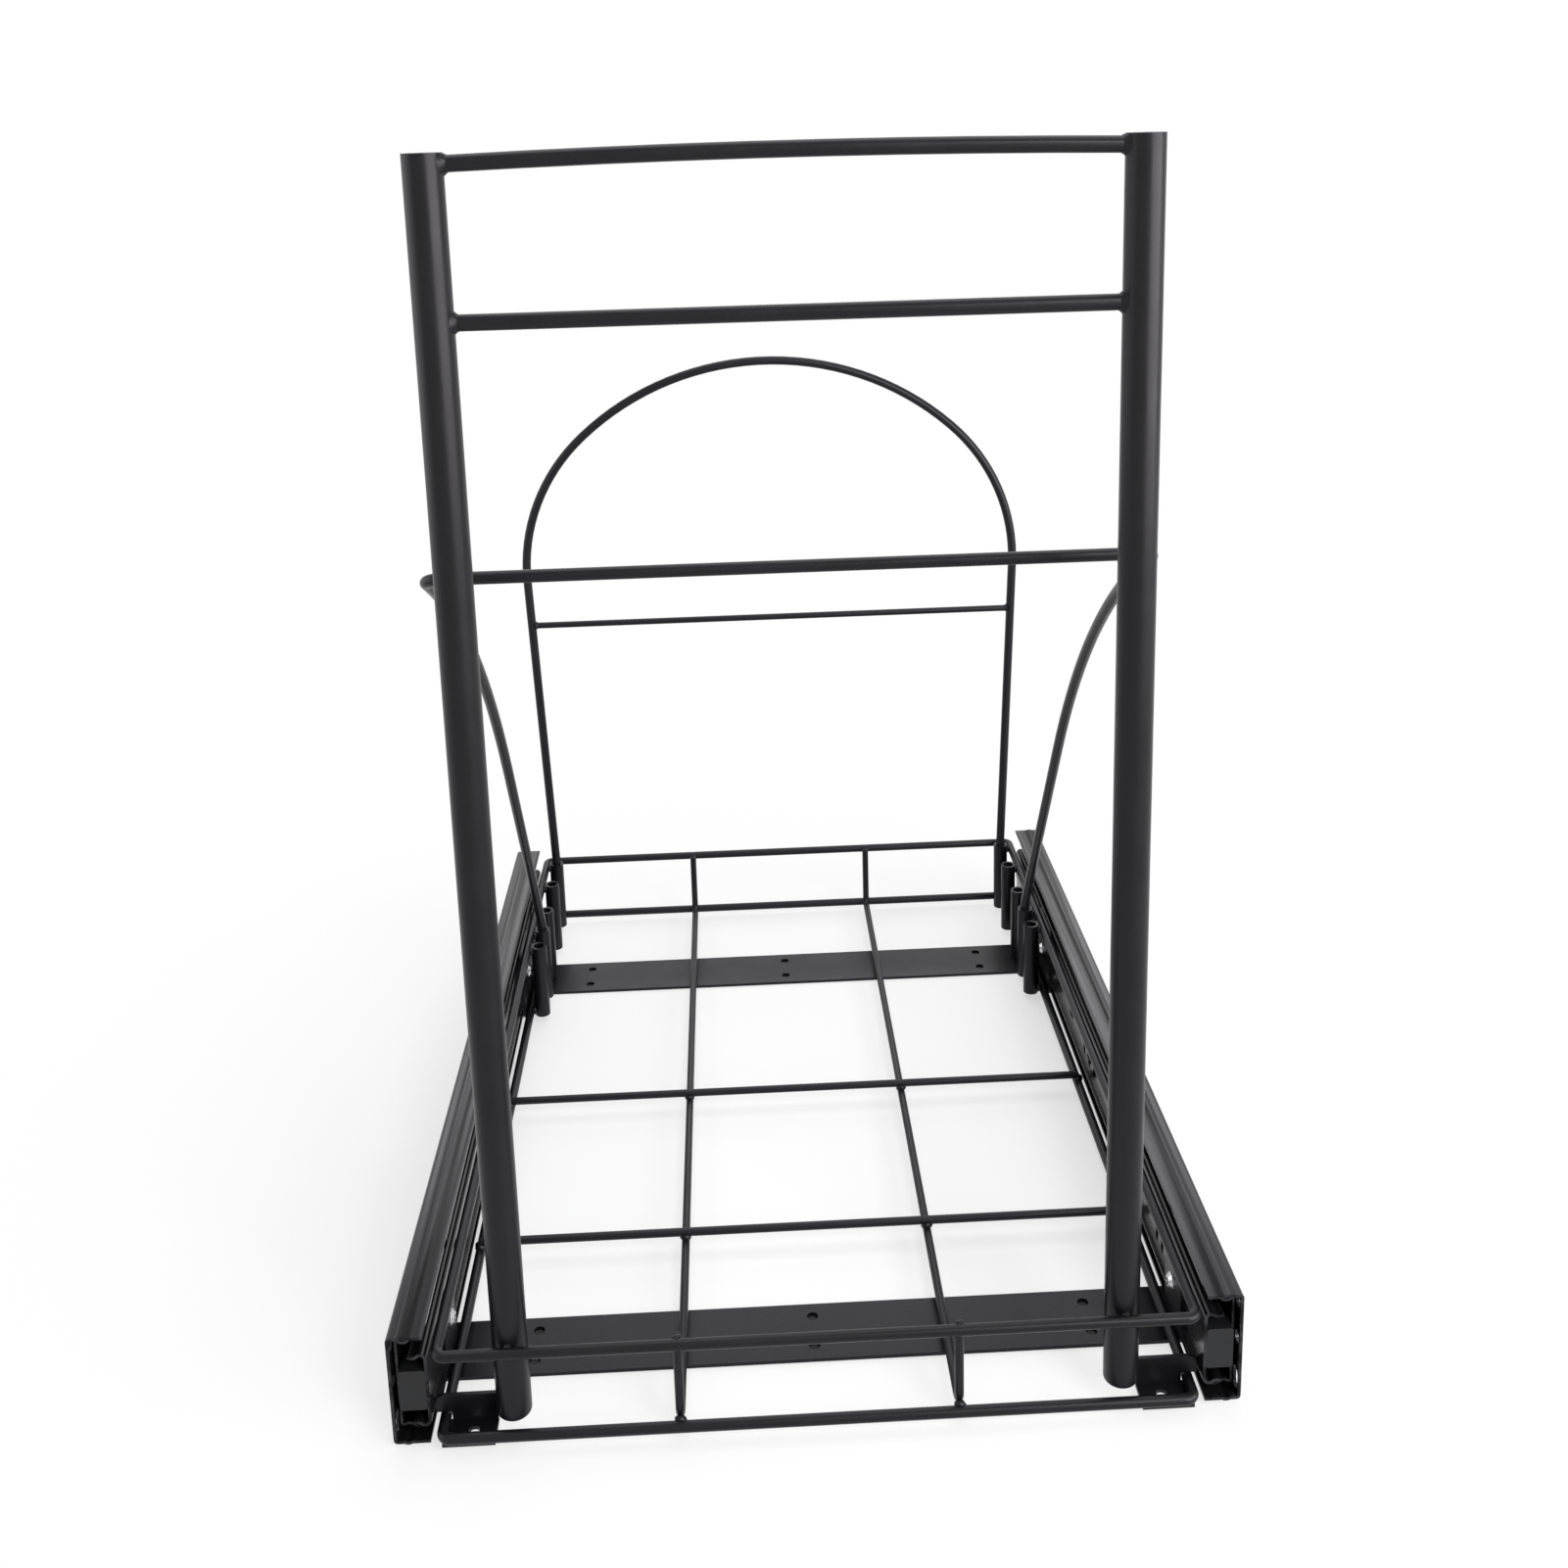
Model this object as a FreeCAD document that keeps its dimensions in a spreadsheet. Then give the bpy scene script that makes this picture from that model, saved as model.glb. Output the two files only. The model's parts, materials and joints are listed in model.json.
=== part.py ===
"""Pull-out frame for a waste bin inside a kitchen cabinet, in millimetres.

X runs across, Y from front to back and Z up. The origin is the bottom centre of the whole frame,
on the cabinet floor. Distances called "from the front" start at the front of the basket's wires.

Two base plates are screwed to the cabinet floor. Their upturned ends carry a pair of ball-bearing
slides, each an outer, a middle and an inner rail that run on balls held in sheet cages. The inner
rails carry a wire basket, with two upright tubes for the cabinet door, and with five pairs of
sleeves that hold a rear hoop and a front hoop, which lift out and move to suit the bin.
"""
import FreeCAD, Part
import math
import os
import Sketcher
from FreeCAD import Placement, Rotation, Vector

doc = FreeCAD.newDocument("pull_out_bin_frame")

SIZES = [
    ("overall_width", 315.0, "across the webs of the two outer rails"),
    ("slide_length", 400.0, "outer rail"),
    ("slide_height", 46.0, "over the ball races of the outer rail"),
    ("slide_depth", 14.6, "from the outer web to the face of the inner web"),
    ("slide_setback", 5.4, "front of the slides behind the front of the basket"),
    ("middle_setback", 4.0, "front of the middle rail behind the front of the outer rail"),
    ("cross_opening", 191.5, "plus-shaped opening of an inner rail behind the rail's front"),
    ("outer_sheet", 1.2, "thickness of the outer rail"),
    ("front_hole", 4.8, "holes near the front of the outer web"),
    ("middle_sheet", 1.0, "thickness of the middle rail"),
    ("inner_sheet", 1.2, "thickness of the inner rail"),
    ("web_gap", 0.9, "space between the outer web and the middle web"),
    ("ball_diameter", 4.0, "balls in the slides"),
    ("ball_clearance", 0.05, "between a ball and its race"),
    ("outer_row_depth", 5.4, "outer ball rows, in from the outer web"),
    ("inner_row_depth", 9.2, "inner ball rows, in from the outer web"),
    ("cage_length", 185.0, "ball cages"),
    ("cage_sheet", 0.4, "thickness of the ball cages"),
    ("cage_start", 103.0, "front of the cages behind the front of the outer rail"),
    ("ball_pitch", 15.0, "between balls of one group"),
    ("ball_hole_play", 0.3, "hole in a cage over the ball's diameter"),
    ("bumper_length", 13.0, "plastic block in the front of an inner rail"),
    ("bumper_height", 16.6, "plastic block in the front of an inner rail"),
    ("buffer_length", 8.0, "rubber block at the back of an outer rail"),
    ("buffer_gap", 0.3, "between a rubber block and the middle and inner rails that meet it"),
    ("buffer_setback", 1.7, "back of a rubber block ahead of the outer rail's end"),
    ("plate_width", 30.0, "base plates, front to back"),
    ("plate_sheet", 1.5, "thickness of the base plates"),
    ("plate_bend", 1.0, "inner bend radius of the base plates"),
    ("plate_upturn", 39.0, "height of the upturned ends"),
    ("front_plate_start", 37.3, "front plate from the front"),
    ("rear_plate_start", 321.0, "rear plate from the front"),
    ("floor_hole", 4.5, "screw holes in the base plates"),
    ("floor_hole_pitch", 110.0, "between columns of screw holes"),
    ("floor_hole_rows", 16.0, "between the two rows of screw holes"),
    ("rivet_diameter", 4.0, "rivets that hold the slides"),
    ("rivet_pitch", 16.0, "between the two rivets of one upturned end"),
    ("rivet_head", 1.0, "height of a rivet head"),
    ("basket_depth", 405.2, "over the front and rear wires"),
    ("basket_lift", 3.9, "underside of the bottom wire over the floor"),
    ("top_wire_height", 41.0, "centre of the top wire over the floor"),
    ("frame_wire", 4.2, "top and bottom wires"),
    ("frame_corner", 3.6, "corner radius of the top and bottom wires"),
    ("grid_wire", 3.5, "floor wires, cross wires and hoop bar"),
    ("grid_offset", 51.8, "floor wires from the centre plane"),
    ("grid_bend", 5.0, "bend radius of the floor wires"),
    ("front_cross", 104.2, "front cross wire from the front"),
    ("rear_cross", 205.9, "rear cross wire from the front"),
    ("bracket_sheet", 1.5, "thickness of the brackets"),
    ("bracket_foot", 14.0, "back of the corner foot from the front"),
    ("bracket_flange", 15.5, "top of the corner flange over the floor"),
    ("screw_start", 42.0, "front rail screws from the front"),
    ("rear_screw_start", 305.0, "rear rail screws from the front"),
    ("screw_diameter", 4.0, "rail screws"),
    ("screw_head", 7.0, "diameter of a rail screw's head"),
    ("tube_diameter", 13.0, "door tubes"),
    ("tube_wall", 1.2, "wall of the door tubes"),
    ("tube_inset", 26.0, "door tubes inwards from the side wires"),
    ("tube_foot", 9.4, "underside of the door tubes over the floor"),
    ("tube_top", 467.5, "top of the door tubes over the floor"),
    ("bar_diameter", 5.5, "bars between the door tubes"),
    ("top_bar_drop", 3.5, "ends of the top bar below the tube tops"),
    ("top_bar_rise", 1.6, "arch of the top bar"),
    ("lower_bar_height", 414.3, "lower bar over the floor"),
    ("plug_length", 10.0, "plugs in the door tubes"),
    ("sleeve_diameter", 8.0, "sleeves for the hoops"),
    ("sleeve_bore", 5.4, "bore of the sleeves"),
    ("sleeve_length", 40.0, "sleeves"),
    ("sleeve_lift", 3.0, "underside of the sleeves over the floor"),
    ("sleeve_floor", 1.0, "thickness of a sleeve's closed foot"),
    ("rearmost_sleeve", 7.0, "rearmost sleeve ahead of the rear wire"),
    ("second_sleeve", 27.0, "second sleeve ahead of the rearmost"),
    ("third_sleeve", 59.0, "third sleeve ahead of the rearmost"),
    ("fourth_sleeve", 80.8, "fourth sleeve ahead of the rearmost"),
    ("fifth_sleeve", 99.0, "fifth sleeve ahead of the rearmost"),
    ("hoop_wire", 4.8, "rear hoop and front hoop"),
    ("hoop_top", 341.4, "centre of the rear hoop's crown over the floor"),
    ("hoop_spread", 8.3, "meeting of leg and arch lines outside the sleeves' centres"),
    ("hoop_shoulder_height", 268.0, "meeting of leg and arch lines over the floor"),
    ("hoop_crown_angle", 41.8, "slope of the arch's tangent from shoulder to crown"),
    ("hoop_bar_height", 191.6, "bar across the rear hoop, over the floor"),
    ("front_hoop_reach", 61.0, "bar of the front hoop from the front"),
    ("front_hoop_height", 316.0, "bar of the front hoop over the floor"),
    ("front_hoop_knee", 168.6, "bend of the front hoop's legs from the front"),
    ("front_hoop_knee_height", 264.1, "bend of the front hoop's legs over the floor"),
    ("front_hoop_corner", 8.0, "bend radius beside the front hoop's bar"),
]


def make_sheet():
    """The driving dimensions, one row each: name, value and meaning."""
    sheet = doc.addObject("Spreadsheet::Sheet", "Sizes")
    for row, (alias, value, meaning) in enumerate(SIZES, start=1):
        sheet.set(f"A{row}", alias)
        sheet.set(f"B{row}", str(value))
        sheet.set(f"C{row}", meaning)
        sheet.setAlias(f"B{row}", alias)
    doc.recompute()
    return sheet


sheet = make_sheet()


def size(alias):
    """One driving dimension as a number."""
    return float(sheet.get(alias))


# Places worked out from the driving dimensions
FRONT = -(size("slide_setback") + size("slide_length")) / 2
SLIDE_FRONT = FRONT + size("slide_setback")
RAIL_X = size("overall_width") / 2
SLIDE_BASE = size("plate_sheet")
SLIDE_MIDDLE = SLIDE_BASE + size("slide_height") / 2
BRACKET_X = RAIL_X - size("slide_depth") - size("bracket_sheet")
SIDE_WIRE_X = BRACKET_X - size("frame_wire") / 2
FRONT_WIRE_Y = FRONT + size("frame_wire") / 2
REAR_WIRE_Y = FRONT + size("basket_depth") - size("frame_wire") / 2
BOTTOM_WIRE_Z = size("basket_lift") + size("frame_wire") / 2
WIRE_TO_GRID = (size("frame_wire") + size("grid_wire")) / 2
TUBE_X = SIDE_WIRE_X - size("tube_inset")
TUBE_Y = FRONT + size("frame_wire") + size("tube_diameter") / 2
SLEEVE_X = SIDE_WIRE_X - (size("frame_wire") + size("sleeve_diameter")) / 2
REAR_SLEEVE_Y = REAR_WIRE_Y - size("rearmost_sleeve")
FRONT_SLEEVE_Y = REAR_SLEEVE_Y - size("fourth_sleeve")
SLEEVE_TOP = size("sleeve_lift") + size("sleeve_length")
LEG_FOOT = size("sleeve_lift") + size("sleeve_floor")
LEG_STRAIGHT = 4.0

# Ball rows: depth from the outer web, and height from the slide's middle
RACE = size("ball_diameter") / 2 + size("ball_clearance")
OUTER_ROW = (size("outer_row_depth"), size("slide_height") / 2 - RACE - size("outer_sheet"))
ROW_STEP = 2 * RACE + size("middle_sheet")
ROW_RUN = size("inner_row_depth") - size("outer_row_depth")
ROW_DROP = math.sqrt(ROW_STEP ** 2 - ROW_RUN ** 2)
INNER_ROW = (size("inner_row_depth"), OUTER_ROW[1] - ROW_DROP)
MIDDLE_WEB = size("outer_sheet") + size("web_gap") + size("middle_sheet") / 2
INNER_WEB = size("slide_depth") - size("inner_sheet") / 2

# The inner and middle rails end just before the rubber block at the back of the outer rail
INNER_LENGTH = "Sizes.slide_length - Sizes.buffer_setback - Sizes.buffer_length - Sizes.buffer_gap"
MIDDLE_LENGTH = f"{INNER_LENGTH} - Sizes.middle_setback"
BUFFER_START = SLIDE_FRONT + size("slide_length") - size("buffer_setback") - size("buffer_length")

SIDES = {"left": -1, "right": 1}
parts = []


def keep(feature, label):
    """Marks a document object as a finished sub-part with its own name."""
    feature.Label = label
    parts.append(feature)
    return feature


# Outlines


def polar(centre, radius, degrees):
    """Point at an angle on a circle."""
    angle = math.radians(degrees)
    return Vector(centre[0] + radius * math.cos(angle), centre[1] + radius * math.sin(angle), 0)


def strip_side(start, heading, steps, offset):
    """One side of a rolled strip, as edges that run at an offset to the left of its middle line.

    A step is ("run", length) or ("turn", degrees, radius); a positive turn goes to the left.
    """
    edges = []
    point = Vector(start[0], start[1], 0)
    for step in steps:
        left = polar((0, 0), 1, heading + 90)
        if step[0] == "run":
            after = point + polar((0, 0), step[1], heading)
            edges.append(Part.LineSegment(point + left * offset, after + left * offset))
        else:
            turn, radius = step[1], step[2]
            sign = math.copysign(1, turn)
            centre = point + left * (radius * sign)
            reach = radius - sign * offset
            first = heading - 90 * sign
            spots = [polar(centre, reach, first + turn * part) for part in (0, 0.5, 1)]
            edges.append(Part.Arc(*spots))
            after = polar(centre, radius, first + turn)
            heading += turn
        point = after
    return edges


def ends(edge):
    """First and last point of a line or arc."""
    return edge.value(edge.FirstParameter), edge.value(edge.LastParameter)


def channel_outline(web, half, thickness, side):
    """Closed outline of a C section rolled from strip, mirror-symmetric about its middle height.

    The section is given from the middle of its web upwards, with depth measured inwards from the
    outer web, and is turned to the left-hand or right-hand slide.
    """
    end = strip_side((web, 0), 90, half, 0)[-1]
    tip = ends(end)[1]
    heading = 90 + sum(step[1] for step in half if step[0] == "turn")
    web_half = half[0][1]
    steps = list(reversed(half[1:])) + [("run", 2 * web_half)] + half[1:]
    outlines = [strip_side((tip.x, -tip.y), 180 - heading, steps, offset)
                for offset in (thickness / 2, -thickness / 2)]
    firsts = [ends(outline[0])[0] for outline in outlines]
    lasts = [ends(outline[-1])[1] for outline in outlines]
    edges = outlines[0] + outlines[1] + [Part.LineSegment(*firsts), Part.LineSegment(*lasts)]
    place = FreeCAD.Matrix()
    place.scale(-side, 1, 1)
    place.move(Vector(side * RAIL_X, SLIDE_MIDDLE, 0))
    return [placed(edge, place) for edge in edges]


def placed(edge, place):
    """Line or arc moved by a matrix, kept as a line or arc."""
    first, last = ends(edge)
    middle = edge.value((edge.FirstParameter + edge.LastParameter) / 2)
    if isinstance(edge, Part.LineSegment):
        return Part.LineSegment(place.multVec(first), place.multVec(last))
    return Part.Arc(place.multVec(first), place.multVec(middle), place.multVec(last))


def rounded_outline(points, radii):
    """Closed outline through points, with each corner rounded to its radius."""
    corners = [rounded_corner(points, radii, index) for index in range(len(points))]
    edges = []
    for index, corner in enumerate(corners):
        after = corners[(index + 1) % len(corners)]
        if radii[index] > 0:
            edges.append(Part.Arc(*corner))
        if corner[2].distanceToPoint(after[0]) > 1e-6:
            edges.append(Part.LineSegment(corner[2], after[0]))
    return edges


def rounded_corner(points, radii, index):
    """Start, middle and end of the arc that rounds one corner of a closed or open run of points."""
    point = points[index]
    to_before = (points[index - 1] - point).normalize()
    to_after = (points[(index + 1) % len(points)] - point).normalize()
    half_angle = to_before.getAngle(to_after) / 2
    radius = radii[index]
    reach = radius / math.tan(half_angle)
    inwards = (to_before + to_after).normalize()
    middle = point + inwards * (radius / math.sin(half_angle) - radius)
    return point + to_before * reach, middle, point + to_after * reach


def box_outline(first, last, radius=0.0):
    """Rectangle between two opposite corners, with rounded corners if a radius is given."""
    points = [Vector(first[0], first[1], 0), Vector(last[0], first[1], 0),
              Vector(last[0], last[1], 0), Vector(first[0], last[1], 0)]
    return rounded_outline(points, [radius] * 4)


def slot_outline(centre, length, width, degrees=0):
    """Slot with round ends about a centre, along the first axis turned by an angle."""
    centre = Vector(centre[0], centre[1], 0)
    reach = (length - width) / 2
    heads = [centre + polar((0, 0), sign * reach, degrees) for sign in (1, -1)]
    arcs = [Part.Arc(*[polar(heads[k], width / 2, degrees + 180 * k + turn) for turn in (-90, 0, 90)])
            for k in (0, 1)]
    joins = [Part.LineSegment(ends(arcs[k])[1], ends(arcs[1 - k])[0]) for k in (0, 1)]
    return [arcs[0], joins[0], arcs[1], joins[1]]


# Features


def new_body(name):
    """Empty body; it may hold several separate solids of one kind."""
    body = doc.addObject("PartDesign::Body", name)
    body.AllowCompound = True
    return body


def new_sketch(body, name, role, offset=0.0):
    """Sketch on one of the body's own origin planes, moved along the plane's normal."""
    sketch = body.newObject("Sketcher::SketchObject", name)
    plane = next(item for item in body.Origin.OriginFeatures if item.Role == role)
    sketch.AttachmentSupport = [(plane, "")]
    sketch.MapMode = "FlatFace"
    sketch.AttachmentOffset = Placement(Vector(0, 0, offset), Rotation())
    return sketch


def new_pad(body, sketch, name, length, reverse=False):
    """Pad whose length is an expression of the driving dimensions."""
    pad = body.newObject("PartDesign::Pad", name)
    pad.Profile = sketch
    pad.setExpression("Length", length)
    pad.Reversed = reverse
    body.Tip = pad
    doc.recompute()
    return pad


def new_pocket(body, sketch, name):
    """Cut through the whole body, both ways from the sketch; it must remove material."""
    before = body.Shape.Volume
    pocket = body.newObject("PartDesign::Pocket", name)
    pocket.Profile = sketch
    pocket.SideType = "Symmetric"
    pocket.Type = "ThroughAll"
    body.Tip = pocket
    doc.recompute()
    if body.Shape.Volume > before - 1e-3:
        raise RuntimeError(f"{body.Name}: {name} cuts nothing")
    return pocket


def add_circle(sketch, centre, diameter):
    """Circle in a sketch, its diameter bound to an expression of the driving dimensions."""
    index = sketch.addGeometry(Part.Circle(Vector(centre[0], centre[1], 0), Vector(0, 0, 1), 1), False)
    constraint = sketch.addConstraint(Sketcher.Constraint("Diameter", index, 2.0))
    sketch.setExpression(f"Constraints[{constraint}]", diameter)


def cylinder(name, start, direction, length, diameter):
    """Cylinder from a point along a direction, with its diameter bound to an expression."""
    body = doc.addObject("Part::Cylinder", name)
    body.setExpression("Radius", f"({diameter}) / 2")
    body.Height = length
    body.Placement = Placement(start, Rotation(Vector(0, 0, 1), direction))
    return body


def bent_path(points, radii, closed=False):
    """Wire of straight runs and tangent arcs through points; end points of an open run stay sharp."""
    count = len(points)
    spots = []
    for index, point in enumerate(points):
        sharp = not closed and index in (0, count - 1)
        spots.append((point, None, point) if sharp else rounded_corner(points, radii, index))
    edges = []
    for index, spot in enumerate(spots):
        if spot[1] is not None:
            edges.append(Part.Arc(*spot).toShape())
        if closed or index < count - 1:
            after = spots[(index + 1) % count][0]
            if spot[2].distanceToPoint(after) > 1e-6:
                edges.append(Part.makeLine(spot[2], after))
    return edges


def bent_wire(label, edges, diameter):
    """Round wire swept along joined edges, with its diameter bound to a driving dimension."""
    path = doc.addObject("Part::Feature", f"{label}_path")
    path.Shape = Part.Wire(edges)
    first = path.Shape.Edges[0]
    ring = doc.addObject("Part::Circle", f"{label}_ring")
    ring.setExpression("Radius", f"Sizes.{diameter} / 2")
    start = first.valueAt(first.FirstParameter)
    ring.Placement = Placement(start, Rotation(Vector(0, 0, 1), first.tangentAt(first.FirstParameter)))
    sweep = doc.addObject("Part::Sweep", label)
    sweep.Sections = [ring]
    sweep.Spine = (path, [f"Edge{number}" for number in range(1, len(path.Shape.Edges) + 1)])
    sweep.Solid = True
    sweep.Frenet = False
    doc.recompute()
    wanted = path.Shape.Length * math.pi * size(diameter) ** 2 / 4
    if abs(sweep.Shape.Volume - wanted) > 0.01 * wanted:
        raise RuntimeError(f"{label}: swept volume {sweep.Shape.Volume:.1f}, expected {wanted:.1f}")
    return keep(sweep, label)


# Base plates and their rivets


def base_plate(label, start):
    """Flat strip with upturned ends, and two rows of three screw holes."""
    body = new_body(label)
    sheet_size, bend = size("plate_sheet"), size("plate_bend")
    outer_x = RAIL_X + sheet_size
    top = size("plate_upturn")
    points = [Vector(-outer_x, 0, 0), Vector(outer_x, 0, 0), Vector(outer_x, top, 0),
              Vector(RAIL_X, top, 0), Vector(RAIL_X, sheet_size, 0), Vector(-RAIL_X, sheet_size, 0),
              Vector(-RAIL_X, top, 0), Vector(-outer_x, top, 0)]
    outer_bend = bend + sheet_size
    radii = [outer_bend, outer_bend, 0, 0, bend, bend, 0, 0]
    profile = new_sketch(body, f"{label}_profile", "XZ_Plane")
    profile.addGeometry(rounded_outline(points, radii), False)
    new_pad(body, profile, f"{label}_strip", "Sizes.plate_width", reverse=True)
    holes = new_sketch(body, f"{label}_floor_holes", "XY_Plane")
    middle = size("plate_width") / 2
    for column in (-1, 0, 1):
        for row in (-0.5, 0.5):
            spot = (column * size("floor_hole_pitch"), middle + row * size("floor_hole_rows"))
            add_circle(holes, spot, "Sizes.floor_hole")
    new_pocket(body, holes, f"{label}_floor_pocket")
    sides = new_sketch(body, f"{label}_rivet_holes", "YZ_Plane")
    for height in rivet_heights():
        add_circle(sides, (middle, height), "Sizes.rivet_diameter")
    new_pocket(body, sides, f"{label}_rivet_pocket")
    body.Placement = Placement(Vector(0, start, 0), Rotation())
    return keep(body, label)


def rivet_heights():
    """Heights of the two rivets in each upturned end."""
    return [SLIDE_MIDDLE + part * size("rivet_pitch") for part in (-0.5, 0.5)]


def plate_starts():
    """Front edges of the front and rear base plates."""
    return FRONT + size("front_plate_start"), FRONT + size("rear_plate_start")


def base_rivets():
    """Rivets through the upturned ends and the outer webs, flush inside, with a round head outside."""
    solids = []
    length = size("outer_sheet") + size("plate_sheet")
    radius = size("rivet_diameter") / 2
    head = size("rivet_head")
    for side in SIDES.values():
        for start in plate_starts():
            for height in rivet_heights():
                inside = RAIL_X - size("outer_sheet")
                spot = Vector(side * inside, start + size("plate_width") / 2, height)
                outwards = Vector(side, 0, 0)
                shank = Part.makeCylinder(radius, length, spot, outwards)
                cap = Part.makeCone(radius * 1.8, radius * 1.2, head, spot + outwards * length, outwards)
                solids.append(shank.fuse(cap).removeSplitter())
    rivets = doc.addObject("Part::Feature", "base_rivets")
    rivets.Shape = Part.makeCompound(solids)
    return keep(rivets, "base_rivets")


# Slides


def outer_half():
    """Upper half of the outer rail's section: web, bend, ball race and lip."""
    spread, bend, easing = 28, 1.0, 0.9
    depth, height = OUTER_ROW
    radius = RACE + size("outer_sheet") / 2
    race_half = radius * math.sin(math.radians(spread))
    race_start = height + radius * math.cos(math.radians(spread))
    shoulder = race_start - easing * (1 - math.cos(math.radians(spread)))
    easing_run = easing * math.sin(math.radians(spread))
    web = size("outer_sheet") / 2
    lip_end = size("slide_depth") - 1.0
    return [("run", shoulder - bend), ("turn", -90, bend),
            ("run", depth - race_half - easing_run - web - bend), ("turn", spread, easing),
            ("turn", -2 * spread, radius), ("turn", spread, easing),
            ("run", lip_end - depth - race_half - easing_run)]


def middle_half():
    """Upper half of the middle rail's section: under the outer balls and over the inner balls."""
    dip, wrap = 40, 60
    radius = RACE + size("middle_sheet") / 2
    slope = math.degrees(math.atan2(ROW_RUN, ROW_DROP))
    sine, cosine = math.sin(math.radians(dip)), math.cos(math.radians(dip))
    bend = (OUTER_ROW[0] - radius * sine - MIDDLE_WEB) / (1 + sine)
    web_half = OUTER_ROW[1] - radius * cosine - bend * cosine
    return [("run", web_half), ("turn", -90 - dip, bend), ("turn", dip + slope, radius),
            ("turn", -slope - wrap, radius)]


def inner_half():
    """Upper half of the inner rail's section: web, and a race under the inner balls."""
    dip = 40
    radius = RACE + size("inner_sheet") / 2
    sine, cosine = math.sin(math.radians(dip)), math.cos(math.radians(dip))
    bend = (INNER_WEB - INNER_ROW[0] - radius * sine) / (1 + sine)
    web_half = INNER_ROW[1] - radius * cosine - bend * cosine
    return [("run", web_half), ("turn", 90 + dip, bend), ("turn", -2 * dip, radius)]


def rail(label, side, web, half, thickness, length, start, cuts):
    """Rolled rail with openings through its web, each opening an outline or a bound circle.

    The length is an expression of the driving dimensions.
    """
    body = new_body(label)
    profile = new_sketch(body, f"{label}_profile", "XZ_Plane")
    profile.addGeometry(channel_outline(web, half, size(thickness), side), False)
    new_pad(body, profile, f"{label}_roll", length, reverse=True)
    openings = new_sketch(body, f"{label}_openings", "YZ_Plane")
    for cut in cuts:
        if isinstance(cut, tuple):
            add_circle(openings, cut[0], cut[1])
        else:
            openings.addGeometry(cut, False)
    new_pocket(body, openings, f"{label}_cuts")
    body.Placement = Placement(Vector(0, start, 0), Rotation())
    return keep(body, label)


def outer_rail(name, side):
    """Outer rail, riveted to the base plates, with two holes and a slot near its front end."""
    cuts = [((start + size("plate_width") / 2 - SLIDE_FRONT, height), "Sizes.rivet_diameter")
            for start in plate_starts() for height in rivet_heights()]
    hole = size("front_hole")
    front = hole / 2 + 0.9
    cuts += [((front, SLIDE_MIDDLE + height), "Sizes.front_hole") for height in (17.2, 2.1)]
    cuts.append(slot_outline((front, SLIDE_MIDDLE - 15.6), hole + 4.0, hole, 90))
    return rail(f"outer_rail_{name}", side, size("outer_sheet") / 2, outer_half(), "outer_sheet",
                "Sizes.slide_length", SLIDE_FRONT, cuts)


def middle_rail(name, side):
    """Middle rail, carried between the two rows of balls."""
    start = SLIDE_FRONT + size("middle_setback")
    length = BUFFER_START - size("buffer_gap") - start
    cuts = [slot_outline((length * part, SLIDE_MIDDLE), 14.0, 6.0) for part in (0.1, 0.9)]
    return rail(f"middle_rail_{name}", side, MIDDLE_WEB, middle_half(), "middle_sheet",
                MIDDLE_LENGTH, start, cuts)


def inner_rail(name, side):
    """Inner rail, screwed to the basket's brackets, with adjusting slots in its web."""
    cuts = [((FRONT + start - SLIDE_FRONT, SLIDE_MIDDLE), "Sizes.screw_diameter")
            for start in (size("screw_start"), size("rear_screw_start"))]
    cross = size("cross_opening")
    cuts.append(((cross + 85.5, SLIDE_MIDDLE), "Sizes.screw_diameter"))
    slots = [(58.0, 90), (66.0, 90), (cross - 10.5, 90), (cross + 10.5, 90), (cross + 40.5, 0)]
    for spot, degrees in slots:
        cuts.append(slot_outline((spot, SLIDE_MIDDLE), 8.0, 3.6, degrees))
    cuts.append(cross_outline((cross, SLIDE_MIDDLE), 9.0, 3.2))
    return rail(f"inner_rail_{name}", side, INNER_WEB, inner_half(), "inner_sheet",
                INNER_LENGTH, SLIDE_FRONT, cuts)


def cross_outline(centre, length, width):
    """Plus-shaped opening about a centre."""
    far, near = length / 2, width / 2
    corners = [(far, -near), (far, near), (near, near), (near, far), (-near, far), (-near, near),
               (-far, near), (-far, -near), (-near, -near), (-near, -far), (near, -far), (near, -near)]
    points = [Vector(centre[0] + across, centre[1] + up, 0) for across, up in corners]
    return rounded_outline(points, [0.0] * len(points))


def ball_cage(label, side, web, flange, reach, row_depth):
    """Thin C-shaped cage between two rails, with a round hole for each ball in both flanges."""
    body = new_body(label)
    bend = 0.5
    half = [("run", flange - bend), ("turn", -90, bend), ("run", reach - web - bend)]
    profile = new_sketch(body, f"{label}_profile", "XZ_Plane")
    profile.addGeometry(channel_outline(web, half, size("cage_sheet"), side), False)
    new_pad(body, profile, f"{label}_strip", "Sizes.cage_length", reverse=True)
    holes = new_sketch(body, f"{label}_ball_holes", "XY_Plane")
    for spot in ball_spots():
        add_circle(holes, (side * (RAIL_X - row_depth), spot), "Sizes.ball_diameter + Sizes.ball_hole_play")
    new_pocket(body, holes, f"{label}_ball_pocket")
    body.Placement = Placement(Vector(0, SLIDE_FRONT + size("cage_start"), 0), Rotation())
    return keep(body, label)


def ball_spots():
    """Balls along a cage: a group of three at each end."""
    pitch = size("ball_pitch")
    group = [10.0 + number * pitch for number in range(3)]
    return group + [size("cage_length") - spot for spot in reversed(group)]


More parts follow.
